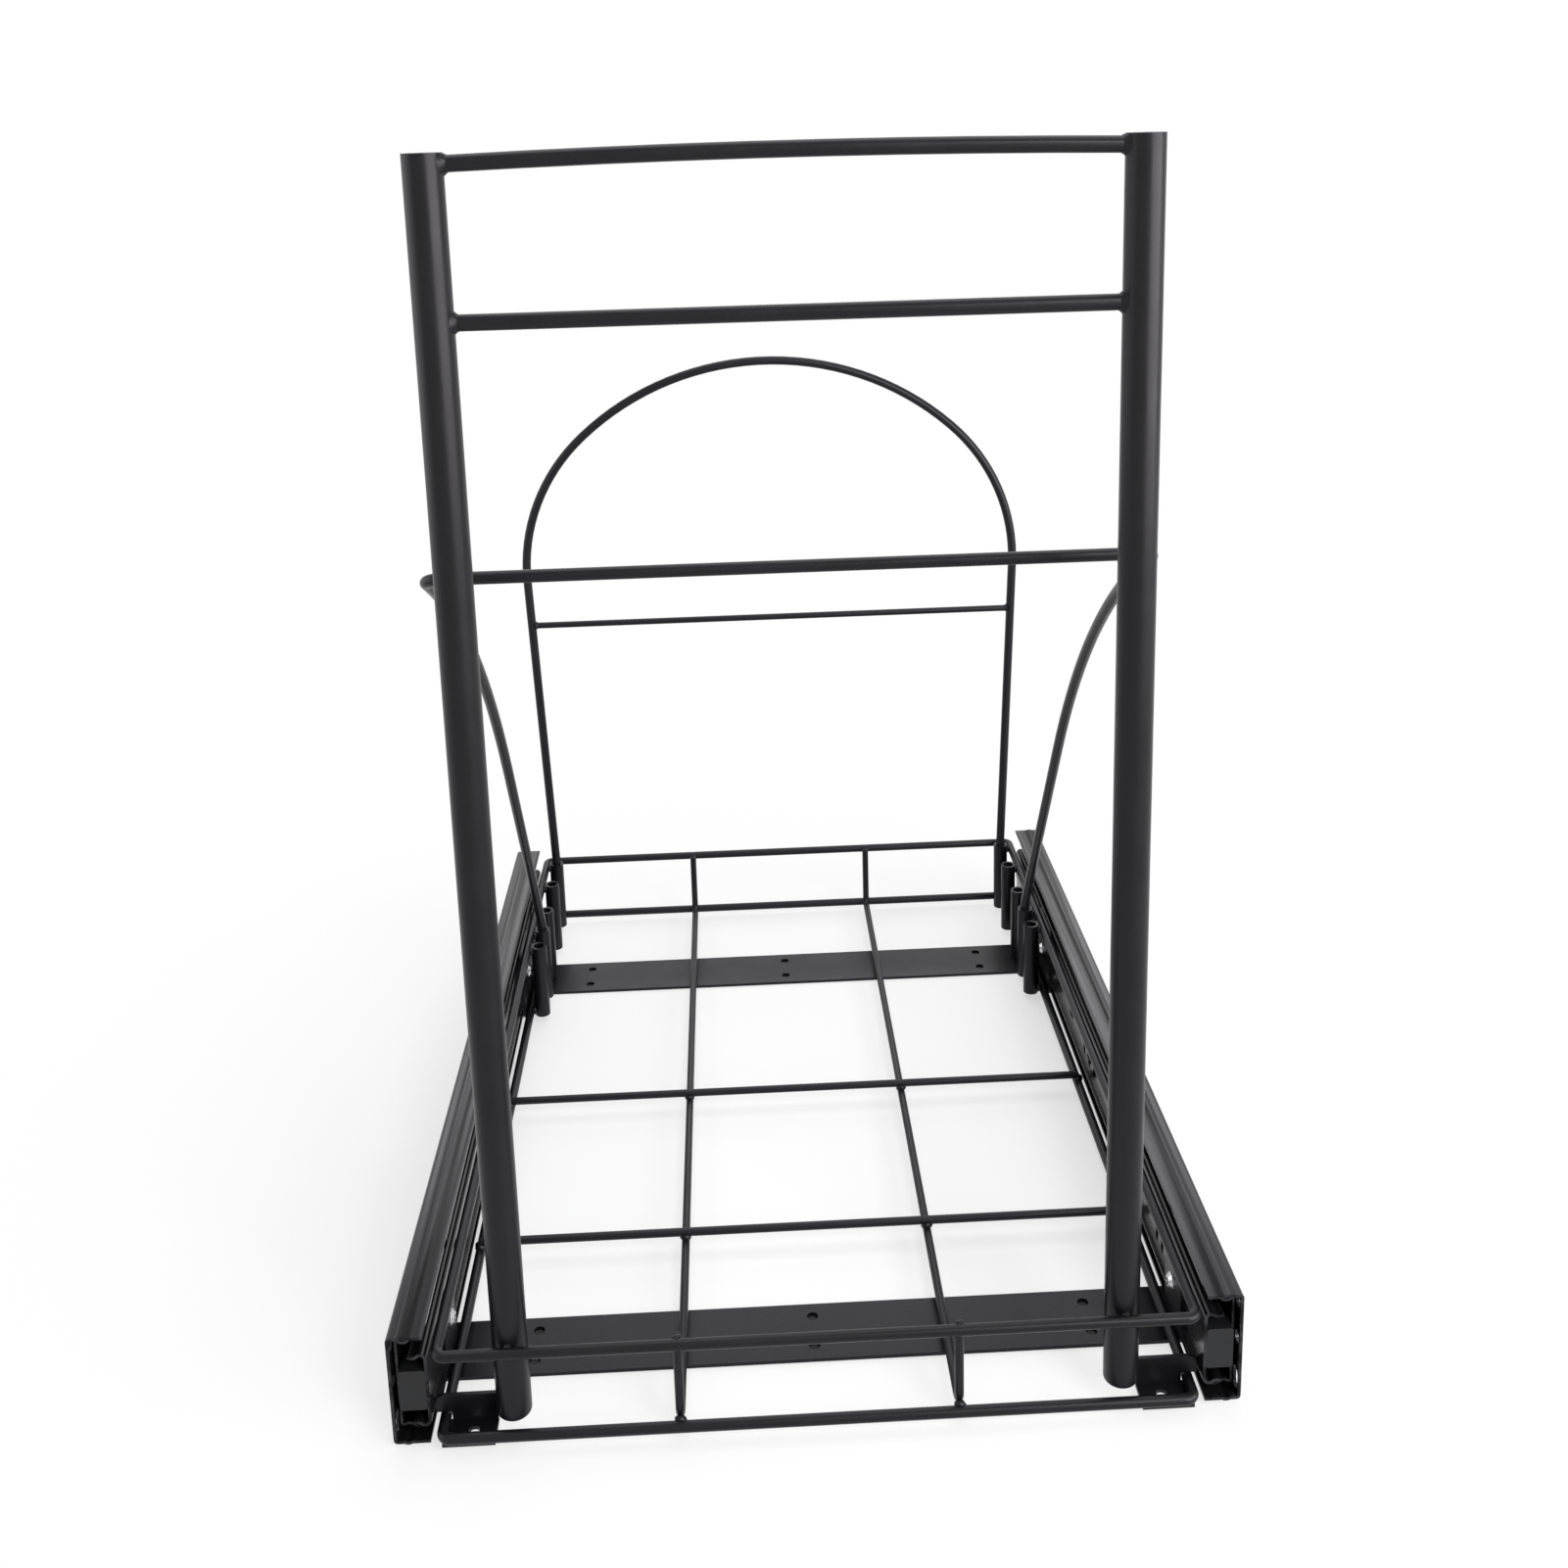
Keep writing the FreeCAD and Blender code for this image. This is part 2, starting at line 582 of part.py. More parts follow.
def balls(label, side, row):
    """The balls of one cage, in its upper and lower rows."""
    depth, height = row
    spheres = []
    for number, spot in enumerate(ball_spots()):
        for level in (1, -1):
            sphere = doc.addObject("Part::Sphere", f"{label}_{number}_{'upper' if level > 0 else 'lower'}")
            sphere.setExpression("Radius", "Sizes.ball_diameter / 2")
            place = Vector(side * (RAIL_X - depth), SLIDE_FRONT + size("cage_start") + spot,
                           SLIDE_MIDDLE + level * height)
            sphere.Placement = Placement(place, Rotation())
            spheres.append(sphere)
    group = doc.addObject("Part::Compound", label)
    group.Links = spheres
    return keep(group, label)


def slide_block(label, side, near, far, start, length, height, rounding):
    """Block inside a slide between two depths, with its long edges rounded."""
    body = new_body(label)
    profile = new_sketch(body, f"{label}_profile", "XZ_Plane")
    first = (side * (RAIL_X - far), SLIDE_MIDDLE - height / 2)
    last = (side * (RAIL_X - near), SLIDE_MIDDLE + height / 2)
    low, high = sorted((first[0], last[0]))
    profile.addGeometry(box_outline((low, first[1]), (high, last[1]), rounding), False)
    new_pad(body, profile, f"{label}_block", length, reverse=True)
    body.Placement = Placement(Vector(0, start, 0), Rotation())
    return keep(body, label)


def slide(name, side):
    """One complete slide: three rails, two cages with their balls, and two blocks."""
    outer_rail(name, side)
    middle_rail(name, side)
    inner_rail(name, side)
    outer_web = size("outer_sheet") + size("web_gap") / 2
    outer_reach = OUTER_ROW[0] + RACE + 0.55
    ball_cage(f"outer_ball_cage_{name}", side, outer_web, OUTER_ROW[1], outer_reach, OUTER_ROW[0])
    balls(f"outer_balls_{name}", side, OUTER_ROW)
    inner_web = MIDDLE_WEB + size("middle_sheet") / 2 + 0.5
    inner_flange = INNER_ROW[1] - 0.45
    inner_reach = INNER_ROW[0] + RACE + 0.6
    ball_cage(f"inner_ball_cage_{name}", side, inner_web, inner_flange, inner_reach, INNER_ROW[0])
    balls(f"inner_balls_{name}", side, INNER_ROW)
    bumper_near = MIDDLE_WEB + size("middle_sheet") / 2 + 0.4
    bumper_far = size("slide_depth") - size("inner_sheet")
    slide_block(f"rail_bumper_{name}", side, bumper_near, bumper_far, SLIDE_FRONT,
                "Sizes.bumper_length", size("bumper_height"), 1.0)
    slide_block(f"rear_buffer_{name}", side, size("outer_sheet"), bumper_far, BUFFER_START,
                "Sizes.buffer_length", size("bumper_height"), 2.0)


# Wire basket


def frame_wire(label, height):
    """Closed rectangle of wire with round corners."""
    corners = [Vector(SIDE_WIRE_X, FRONT_WIRE_Y, height), Vector(SIDE_WIRE_X, REAR_WIRE_Y, height),
               Vector(-SIDE_WIRE_X, REAR_WIRE_Y, height), Vector(-SIDE_WIRE_X, FRONT_WIRE_Y, height)]
    path = bent_path(corners, [size("frame_corner")] * 4, closed=True)
    return bent_wire(label, path, "frame_wire")


def floor_wire(name, side):
    """Wire along the floor that turns up at both ends and meets the top wire from inside."""
    across = side * size("grid_offset")
    low = BOTTOM_WIRE_Z + (size("frame_wire") - size("grid_wire")) / 2
    high = size("top_wire_height") + 1.0
    front = FRONT_WIRE_Y + WIRE_TO_GRID
    rear = REAR_WIRE_Y - WIRE_TO_GRID
    points = [Vector(across, front, high), Vector(across, front, low),
              Vector(across, rear, low), Vector(across, rear, high)]
    path = bent_path(points, [size("grid_bend")] * 4)
    return bent_wire(f"floor_wire_{name}", path, "grid_wire")


def cross_wire(name, start):
    """Straight wire that lies on the floor wires and on the sides of the bottom wire."""
    height = BOTTOM_WIRE_Z + WIRE_TO_GRID
    label = f"cross_wire_{name}"
    wire = cylinder(label, Vector(-SIDE_WIRE_X, FRONT + start, height), Vector(1, 0, 0),
                    2 * SIDE_WIRE_X, "Sizes.grid_wire")
    return keep(wire, label)


def corner_bracket(name, side):
    """Bent bracket in a front corner: a foot under the wires, a flange and a tab for the screw.

    The flange reaches out over the side wire, and the tab lies between the two side wires.
    """
    label = f"corner_bracket_{name}"
    body = new_body(label)
    sheet_size = size("bracket_sheet")
    base = size("basket_lift") - sheet_size
    over_wire = size("basket_lift") + size("frame_wire") + 0.4
    outside = BRACKET_X + sheet_size
    inside_wire = SIDE_WIRE_X - size("frame_wire") / 2 - 0.4
    tube_side = TUBE_X + size("tube_diameter") / 2
    foot_back, flange_top = size("bracket_foot"), size("bracket_flange")
    flange_corner = 3.5
    foot = new_sketch(body, f"{label}_foot_outline", "XY_Plane", base)
    low, high = sorted((side * tube_side, side * SIDE_WIRE_X))
    foot.addGeometry(box_outline((low, size("frame_wire") / 2), (high, foot_back)), False)
    new_pad(body, foot, f"{label}_foot", "Sizes.bracket_sheet")
    flange = new_sketch(body, f"{label}_flange_outline", "XZ_Plane", -foot_back)
    corners = [(tube_side, base), (inside_wire, base), (inside_wire, over_wire), (outside, over_wire),
               (outside, flange_top), (tube_side, flange_top)]
    points = [Vector(side * across, height, 0) for across, height in corners]
    flange.addGeometry(rounded_outline(points, [0, 0, 0, 0, flange_corner, 0]), False)
    new_pad(body, flange, f"{label}_flange", "Sizes.bracket_sheet")
    tab = new_sketch(body, f"{label}_tab_outline", "YZ_Plane", min(side * BRACKET_X, side * outside))
    screw = size("screw_start")
    tab_half, rim = 11.0, 9.0
    tab_top, strip_top = SLIDE_MIDDLE + rim, flange_top - flange_corner
    points = [Vector(foot_back, over_wire, 0), Vector(screw + tab_half, over_wire, 0),
              Vector(screw + tab_half, tab_top, 0), Vector(screw - tab_half, tab_top, 0),
              Vector(screw - tab_half, strip_top, 0), Vector(foot_back, strip_top, 0)]
    tab.addGeometry(rounded_outline(points, [0, 2.0, rim, rim, 4.0, 0]), False)
    new_pad(body, tab, f"{label}_tab", "Sizes.bracket_sheet")
    screw_hole = new_sketch(body, f"{label}_screw_outline", "YZ_Plane")
    add_circle(screw_hole, (screw, SLIDE_MIDDLE), "Sizes.screw_diameter")
    new_pocket(body, screw_hole, f"{label}_screw_hole")
    foot_hole = new_sketch(body, f"{label}_hole_outline", "XY_Plane")
    hole_x = side * (tube_side + inside_wire) / 2
    add_circle(foot_hole, (hole_x, foot_back - sheet_size - 4.5), "Sizes.screw_diameter")
    new_pocket(body, foot_hole, f"{label}_foot_hole")
    body.Placement = Placement(Vector(0, FRONT, 0), Rotation())
    return keep(body, label)


def rear_bracket(name, side):
    """Flat plate welded outside the two side wires and screwed to the inner rail."""
    label = f"rear_bracket_{name}"
    body = new_body(label)
    outside = BRACKET_X + size("bracket_sheet")
    screw = size("rear_screw_start")
    plate = new_sketch(body, f"{label}_outline", "YZ_Plane", min(side * BRACKET_X, side * outside))
    first = (screw - 16.0, size("basket_lift"))
    last = (screw + 16.0, size("top_wire_height") + 1.0)
    plate.addGeometry(box_outline(first, last, 4.0), False)
    new_pad(body, plate, f"{label}_plate", "Sizes.bracket_sheet")
    hole = new_sketch(body, f"{label}_screw_outline", "YZ_Plane")
    add_circle(hole, (screw, SLIDE_MIDDLE), "Sizes.screw_diameter")
    new_pocket(body, hole, f"{label}_screw_hole")
    body.Placement = Placement(Vector(0, FRONT, 0), Rotation())
    return keep(body, label)


def rail_screws():
    """Pan-head screws through the brackets into the inner rails."""
    solids = []
    head_radius, head_height = size("screw_head") / 2, 2.2
    through = size("bracket_sheet") + size("inner_sheet") + 1.5
    for side in SIDES.values():
        for start in (size("screw_start"), size("rear_screw_start")):
            seat = Vector(side * BRACKET_X, FRONT + start, SLIDE_MIDDLE)
            outwards = Vector(side, 0, 0)
            shank = Part.makeCylinder(size("screw_diameter") / 2, through, seat, outwards)
            rim = Part.makeCylinder(head_radius, head_height * 0.45, seat, outwards * -1)
            crown = Part.makeCone(head_radius, head_radius * 0.6, head_height * 0.55,
                                  seat - outwards * (head_height * 0.45), outwards * -1)
            solids.append(shank.fuse([rim, crown]).removeSplitter())
    screws = doc.addObject("Part::Feature", "rail_screws")
    screws.Shape = Part.makeCompound(solids)
    return keep(screws, "rail_screws")


# Tubes and bars for the cabinet door


def door_tube(name, side):
    """Upright tube with a rounded, closed foot and an open top."""
    label = f"door_tube_{name}"
    body = new_body(label)
    radius, wall = size("tube_diameter") / 2, size("tube_wall")
    low, high = size("tube_foot"), size("tube_top")
    foot_round = 1.4
    bore = radius - wall
    points = [Vector(0, low, 0), Vector(radius, low, 0), Vector(radius, high, 0), Vector(bore, high, 0),
              Vector(bore, low + wall, 0), Vector(0, low + wall, 0)]
    profile = new_sketch(body, f"{label}_profile", "XZ_Plane")
    profile.addGeometry(rounded_outline(points, [0, foot_round, 0, 0, max(foot_round - wall, 0), 0]), False)
    turn = body.newObject("PartDesign::Revolution", f"{label}_turn")
    turn.Profile = profile
    turn.ReferenceAxis = (profile, ["V_Axis"])
    turn.Angle = 360
    body.Tip = turn
    doc.recompute()
    body.Placement = Placement(Vector(side * TUBE_X, TUBE_Y, 0), Rotation())
    return keep(body, label)


def tube_plugs():
    """Plastic plugs that close the tops of the door tubes."""
    plugs = []
    for name, side in SIDES.items():
        start = Vector(side * TUBE_X, TUBE_Y, size("tube_top") - size("plug_length"))
        plugs.append(cylinder(f"tube_plug_{name}", start, Vector(0, 0, 1), size("plug_length"),
                              "Sizes.tube_diameter - 2 * Sizes.tube_wall - 0.1"))
    group = doc.addObject("Part::Compound", "tube_plugs")
    group.Links = plugs
    return keep(group, "tube_plugs")


def door_bars():
    """Lower bar, straight, and top bar, slightly arched, between the tubes."""
    reach = TUBE_X - size("tube_diameter") / 2
    lower = cylinder("lower_door_bar", Vector(-reach, TUBE_Y, size("lower_bar_height")),
                     Vector(1, 0, 0), 2 * reach, "Sizes.bar_diameter")
    keep(lower, "lower_door_bar")
    end_height = size("tube_top") - size("top_bar_drop")
    inset = reach - 0.1
    arch = Part.Arc(Vector(-inset, TUBE_Y, end_height), Vector(0, TUBE_Y, end_height + size("top_bar_rise")),
                    Vector(inset, TUBE_Y, end_height))
    bent_wire("top_door_bar", [arch.toShape()], "bar_diameter")


# Sleeves and hoops


def sleeve_rows():
    """Sleeve positions along Y, from the rearmost forwards."""
    ahead = ("second_sleeve", "third_sleeve", "fourth_sleeve", "fifth_sleeve")
    return [REAR_SLEEVE_Y] + [REAR_SLEEVE_Y - size(alias) for alias in ahead]


def sleeves(name, side):
    """Five short tubes inside the side wires, open at the top, with a closed foot for the hoop's leg."""
    label = f"sleeves_{name}"
    body = new_body(label)
    rings = new_sketch(body, f"{label}_rings", "XY_Plane")
    for spot in sleeve_rows():
        add_circle(rings, (side * SLEEVE_X, spot), "Sizes.sleeve_diameter")
        add_circle(rings, (side * SLEEVE_X, spot), "Sizes.sleeve_bore")
    new_pad(body, rings, f"{label}_tubes", "Sizes.sleeve_length")
    feet = new_sketch(body, f"{label}_feet", "XY_Plane")
    for spot in sleeve_rows():
        add_circle(feet, (side * SLEEVE_X, spot), "Sizes.sleeve_diameter")
    new_pad(body, feet, f"{label}_floors", "Sizes.sleeve_floor")
    body.Placement = Placement(Vector(0, 0, size("sleeve_lift")), Rotation())
    return keep(body, label)


def rear_hoop():
    """Arched hoop in the rearmost sleeves, and the bar welded between its legs."""
    knee_height = SLEEVE_TOP + LEG_STRAIGHT
    shoulder_x, shoulder_z = SLEEVE_X + size("hoop_spread"), size("hoop_shoulder_height")
    slope = math.radians(size("hoop_crown_angle"))
    crown_z = shoulder_z + shoulder_x * math.tan(slope)
    crown_radius = (crown_z - size("hoop_top")) / (1 / math.cos(slope) - 1)
    lean = math.atan2(shoulder_x - SLEEVE_X, shoulder_z - knee_height)
    shoulder_turn = math.pi / 2 - slope + lean
    arch_side = shoulder_x / math.cos(slope)
    shoulder_radius = (arch_side - crown_radius * math.tan(slope) - 1.0) / math.tan(shoulder_turn / 2)
    knee_radius = 60.0

    def spot(across, height):
        return Vector(across, REAR_SLEEVE_Y, height)

    points = [spot(SLEEVE_X, LEG_FOOT), spot(SLEEVE_X, knee_height), spot(shoulder_x, shoulder_z),
              spot(0, crown_z), spot(-shoulder_x, shoulder_z), spot(-SLEEVE_X, knee_height),
              spot(-SLEEVE_X, LEG_FOOT)]
    radii = [0, knee_radius, shoulder_radius, crown_radius, shoulder_radius, knee_radius, 0]
    bent_wire("rear_hoop", bent_path(points, radii), "hoop_wire")
    bar_height = size("hoop_bar_height")
    leg_x = SLEEVE_X + (bar_height - knee_height) * math.tan(lean)
    reach = leg_x - size("hoop_wire") / 2
    bar = cylinder("rear_hoop_bar", spot(-reach, bar_height), Vector(1, 0, 0), 2 * reach,
                   "Sizes.grid_wire")
    return keep(bar, "rear_hoop_bar")


def front_hoop():
    """Hoop in the fourth sleeves: its legs lean forward and curve over to a level bar."""
    knee_y, reach_y = FRONT + size("front_hoop_knee"), FRONT + size("front_hoop_reach")

    def leg(side):
        across = side * SLEEVE_X
        return [Vector(across, FRONT_SLEEVE_Y, LEG_FOOT),
                Vector(across, FRONT_SLEEVE_Y, SLEEVE_TOP + LEG_STRAIGHT),
                Vector(across, knee_y, size("front_hoop_knee_height")),
                Vector(across, reach_y, size("front_hoop_height"))]

    points = leg(1) + list(reversed(leg(-1)))
    lean = math.atan2(FRONT_SLEEVE_Y - knee_y, size("front_hoop_knee_height") - SLEEVE_TOP - LEG_STRAIGHT)
    fall = math.atan2(knee_y - reach_y, size("front_hoop_height") - size("front_hoop_knee_height"))
    corner = size("front_hoop_corner")
    last_run = math.hypot(knee_y - reach_y, size("front_hoop_height") - size("front_hoop_knee_height"))
    sweep_radius = (last_run - corner - 1.0) / math.tan((fall - lean) / 2)
    radii = [0, 15.0, sweep_radius, corner, corner, sweep_radius, 15.0, 0]
    return bent_wire("front_hoop", bent_path(points, radii), "hoop_wire")


def write_parts():
    """Checks every object of the document, then writes each sub-part to its own file."""
    doc.recompute()
    for item in doc.Objects:
        if "Invalid" in item.State or "Error" in item.State:
            raise RuntimeError(f"{item.Name} failed: {item.State}")
    for part in parts:
        if part.Shape.isNull() or not part.Shape.isValid() or not part.Shape.Solids:
            raise RuntimeError(f"{part.Label} has no valid solid")
    os.makedirs("parts", exist_ok=True)
    for part in parts:
        part.Shape.exportStep(os.path.join("parts", f"{part.Label}.step"))
        print(part.Label, len(part.Shape.Solids), round(part.Shape.Volume, 1))


front_start, rear_start = plate_starts()
base_plate("front_base_plate", front_start)
base_plate("rear_base_plate", rear_start)
base_rivets()
for side_name, side_sign in SIDES.items():
    slide(side_name, side_sign)
frame_wire("basket_top_wire", size("top_wire_height"))
frame_wire("basket_bottom_wire", BOTTOM_WIRE_Z)
cross_wire("front", size("front_cross"))
cross_wire("rear", size("rear_cross"))
for side_name, side_sign in SIDES.items():
    floor_wire(side_name, side_sign)
    corner_bracket(side_name, side_sign)
    rear_bracket(side_name, side_sign)
    door_tube(side_name, side_sign)
    sleeves(side_name, side_sign)
rail_screws()
tube_plugs()
door_bars()
rear_hoop()
front_hoop()
write_parts()
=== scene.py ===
"""Looks of the pull-out bin frame: finishes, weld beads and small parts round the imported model."""
import json
import math

import bmesh
import bpy
import numpy as np
from mathutils import Matrix, Vector


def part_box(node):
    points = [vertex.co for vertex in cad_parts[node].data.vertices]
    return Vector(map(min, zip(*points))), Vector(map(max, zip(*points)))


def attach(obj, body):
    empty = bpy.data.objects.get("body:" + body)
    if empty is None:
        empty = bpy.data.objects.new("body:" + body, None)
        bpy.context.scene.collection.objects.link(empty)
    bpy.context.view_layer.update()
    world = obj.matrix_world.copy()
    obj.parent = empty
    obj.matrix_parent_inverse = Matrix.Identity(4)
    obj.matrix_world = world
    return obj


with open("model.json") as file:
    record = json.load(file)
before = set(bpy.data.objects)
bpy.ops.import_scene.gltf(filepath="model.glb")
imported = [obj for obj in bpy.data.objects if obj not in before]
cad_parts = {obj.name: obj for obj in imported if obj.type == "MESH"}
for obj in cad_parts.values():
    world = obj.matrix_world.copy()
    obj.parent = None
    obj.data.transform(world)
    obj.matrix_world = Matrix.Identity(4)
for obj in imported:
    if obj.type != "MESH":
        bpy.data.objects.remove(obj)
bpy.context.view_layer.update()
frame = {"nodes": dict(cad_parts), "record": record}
NODES = frame["nodes"]
scene = bpy.context.scene

MM = 0.001
X, Y, Z = range(3)
SIGNS = (-1, 1)
FULL_TURN = 2 * math.pi
WHITE = (1.0, 1.0, 1.0, 1.0)


def middle(node):
    """Centre of a node's box."""
    low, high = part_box(node)
    return (low + high) / 2


def reach(node, axis):
    """Lowest and highest value of a node along one axis."""
    low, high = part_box(node)
    return low[axis], high[axis]


def half_size(node, axis):
    """Half of a node's extent along one axis."""
    low, high = reach(node, axis)
    return (high - low) / 2


# Node groups for effects that several finishes share

GRAIN_DETAIL = 3.0
GRAIN_ROUGHNESS = 0.6
SOFT_DETAIL = 2.0
LINE_STRETCH = 0.012


def new_group(name, inputs, outputs):
    """Shader group with named float inputs and outputs; gives the group, its entry and its exit."""
    group = bpy.data.node_groups.new(name, "ShaderNodeTree")
    for label, value in inputs.items():
        socket = group.interface.new_socket(label, in_out="INPUT", socket_type="NodeSocketFloat")
        socket.default_value = value
    for label in outputs:
        group.interface.new_socket(label, in_out="OUTPUT", socket_type="NodeSocketFloat")
    return group, group.nodes.new("NodeGroupInput"), group.nodes.new("NodeGroupOutput")


def object_place(tree):
    """Place on the object, in metres, as a socket."""
    return tree.nodes.new("ShaderNodeTexCoord").outputs["Object"]


def add_noise(tree, place, scale, detail, roughness=0.5):
    """Noise read at a place, with its scale taken from a socket."""
    noise = tree.nodes.new("ShaderNodeTexNoise")
    noise.inputs["Detail"].default_value = detail
    noise.inputs["Roughness"].default_value = roughness
    tree.links.new(place, noise.inputs["Vector"])
    tree.links.new(scale, noise.inputs["Scale"])
    return noise.outputs["Fac"]


def grit_group():
    """Fine pebbled skin of baked powder: two noises, given as a height and as a patch mask."""
    scales = {"Grain Scale": 1400.0, "Patch Scale": 60.0}
    group, entry, leave = new_group("powder_grit", scales, ("Height", "Patch"))
    place = object_place(group)
    grain = add_noise(group, place, entry.outputs["Grain Scale"], GRAIN_DETAIL, GRAIN_ROUGHNESS)
    patch = add_noise(group, place, entry.outputs["Patch Scale"], SOFT_DETAIL)
    group.links.new(grain, leave.inputs["Height"])
    group.links.new(patch, leave.inputs["Patch"])
    return group


def rolled_lines_group():
    """Long faint lines that rolling leaves along a strip: noise stretched along Y."""
    group, entry, leave = new_group("rolled_lines", {"Across Scale": 900.0}, ("Height",))
    stretch = group.nodes.new("ShaderNodeMapping")
    stretch.inputs["Scale"].default_value = (1.0, LINE_STRETCH, 1.0)
    group.links.new(object_place(group), stretch.inputs["Vector"])
    lines = add_noise(group, stretch.outputs["Vector"], entry.outputs["Across Scale"], SOFT_DETAIL)
    group.links.new(lines, leave.inputs["Height"])
    return group


GRIT = grit_group()
LINES = rolled_lines_group()


# Small steps that build a material

# Part of a noise's range over which a ramp runs, unless it says otherwise
NOISE_LOW, NOISE_HIGH = 0.3, 0.7
# Sockets of a Mix node that is set to colours
MIX_FACTOR, MIX_FIRST, MIX_SECOND, MIX_RESULT = 0, 6, 7, 2


def add_group(tree, group, **values):
    """A group's outputs in a material, with the group's own values set."""
    node = tree.nodes.new("ShaderNodeGroup")
    node.node_tree = group
    for label, value in values.items():
        node.inputs[label.replace("_", " ")].default_value = value
    return node.outputs


def ramp(tree, source, low, high, start=NOISE_LOW, end=NOISE_HIGH):
    """Value that goes from low to high as its source goes from start to end."""
    node = tree.nodes.new("ShaderNodeMapRange")
    node.inputs["From Min"].default_value = start
    node.inputs["From Max"].default_value = end
    node.inputs["To Min"].default_value = low
    node.inputs["To Max"].default_value = high
    tree.links.new(source, node.inputs["Value"])
    return node.outputs["Result"]


def join_values(tree, operation, first, second):
    """Two values joined by a math operation."""
    node = tree.nodes.new("ShaderNodeMath")
    node.operation = operation
    tree.links.new(first, node.inputs[0])
    tree.links.new(second, node.inputs[1])
    return node.outputs["Value"]


def blend_colours(tree, factor, first, second):
    """Colour between two, by a factor."""
    node = tree.nodes.new("ShaderNodeMix")
    node.data_type = "RGBA"
    node.inputs[MIX_FIRST].default_value = (*first, 1.0)
    node.inputs[MIX_SECOND].default_value = (*second, 1.0)
    tree.links.new(factor, node.inputs[MIX_FACTOR])
    return node.outputs[MIX_RESULT]


def add_bump(tree, height, strength, distance):
    """Bump from a height, with its distance in metres."""
    node = tree.nodes.new("ShaderNodeBump")
    node.inputs["Strength"].default_value = strength
    node.inputs["Distance"].default_value = distance
    tree.links.new(height, node.inputs["Height"])
    return node.outputs["Normal"]


def new_finish(name):
    """Material with one Principled shader; gives the material, its tree and the shader."""
    material = bpy.data.materials.new(name)
    material.use_nodes = True
    return material, material.node_tree, material.node_tree.nodes["Principled BSDF"]


def dress(tree, shader, colour, rough, bump):
    """Links a varying colour, roughness and bump to a shader. The colour is a mask and two colours,
    the roughness a mask and two values, the bump a height, a strength and a distance."""
    tree.links.new(blend_colours(tree, *colour), shader.inputs["Base Color"])
    tree.links.new(ramp(tree, *rough), shader.inputs["Roughness"])
    tree.links.new(add_bump(tree, *bump), shader.inputs["Normal"])


# Finishes

# Slight violet of the black coats where they shine
COAT_TINT = (0.97, 0.93, 1.0, 1.0)
POWDER_DARK, POWDER_LIGHT = (0.0045, 0.0044, 0.0055), (0.0072, 0.007, 0.0087)
RAIL_DARK, RAIL_LIGHT = (0.0045, 0.0044, 0.005), (0.008, 0.0078, 0.0086)
PLASTIC_GLOSS = 0.25


def powder_coat(name, dark, light, rough, gloss):
    """Black baked powder: patchy colour, pebbled bump and a soft sheen that varies."""
    material, tree, shader = new_finish(name)
    grit = add_group(tree, GRIT, Grain_Scale=1500.0, Patch_Scale=55.0)
    dress(tree, shader, (grit["Patch"], dark, light),
          (grit["Patch"], rough - 0.04, rough + 0.05), (grit["Height"], 0.35, 0.12 * MM))
    shader.inputs["Specular IOR Level"].default_value = gloss
    shader.inputs["Specular Tint"].default_value = COAT_TINT
    return material


def rail_coat():
    """Glossy black coat on rolled sheet: fine lines and broader bright streaks along the rail."""
    material, tree, shader = new_finish("rail_coat")
    lines = add_group(tree, LINES, Across_Scale=700.0)
    streaks = add_group(tree, LINES, Across_Scale=210.0)
    grit = add_group(tree, GRIT, Grain_Scale=500.0, Patch_Scale=30.0)
    dress(tree, shader, (grit["Patch"], RAIL_DARK, RAIL_LIGHT),
          (lines["Height"], 0.14, 0.28), (lines["Height"], 0.3, 0.08 * MM))
    gloss = ramp(tree, streaks["Height"], 0.08, 0.5, 0.38, 0.62)
    tree.links.new(gloss, shader.inputs["Specular IOR Level"])
    shader.inputs["Specular Tint"].default_value = COAT_TINT
    return material


def bright_metal(name, dark, light, rough, scale):
    """Bare or plated steel: patchy brightness and fine scratches."""
    material, tree, shader = new_finish(name)
    grit = add_group(tree, GRIT, Grain_Scale=scale, Patch_Scale=scale / 8)
    dress(tree, shader, (grit["Patch"], dark, light),
          (grit["Height"], rough - 0.06, rough + 0.08), (grit["Height"], 0.15, 0.03 * MM))
    shader.inputs["Metallic"].default_value = 1.0
    return material


def moulded(name, dark, light, rough):
    """Moulded plastic or rubber: even colour with a fine matte grain."""
    material, tree, shader = new_finish(name)
    grit = add_group(tree, GRIT, Grain_Scale=2600.0, Patch_Scale=120.0)
    dress(tree, shader, (grit["Patch"], dark, light),
          (grit["Patch"], rough - 0.05, rough + 0.05), (grit["Height"], 0.3, 0.04 * MM))
    shader.inputs["Specular IOR Level"].default_value = PLASTIC_GLOSS
    return material


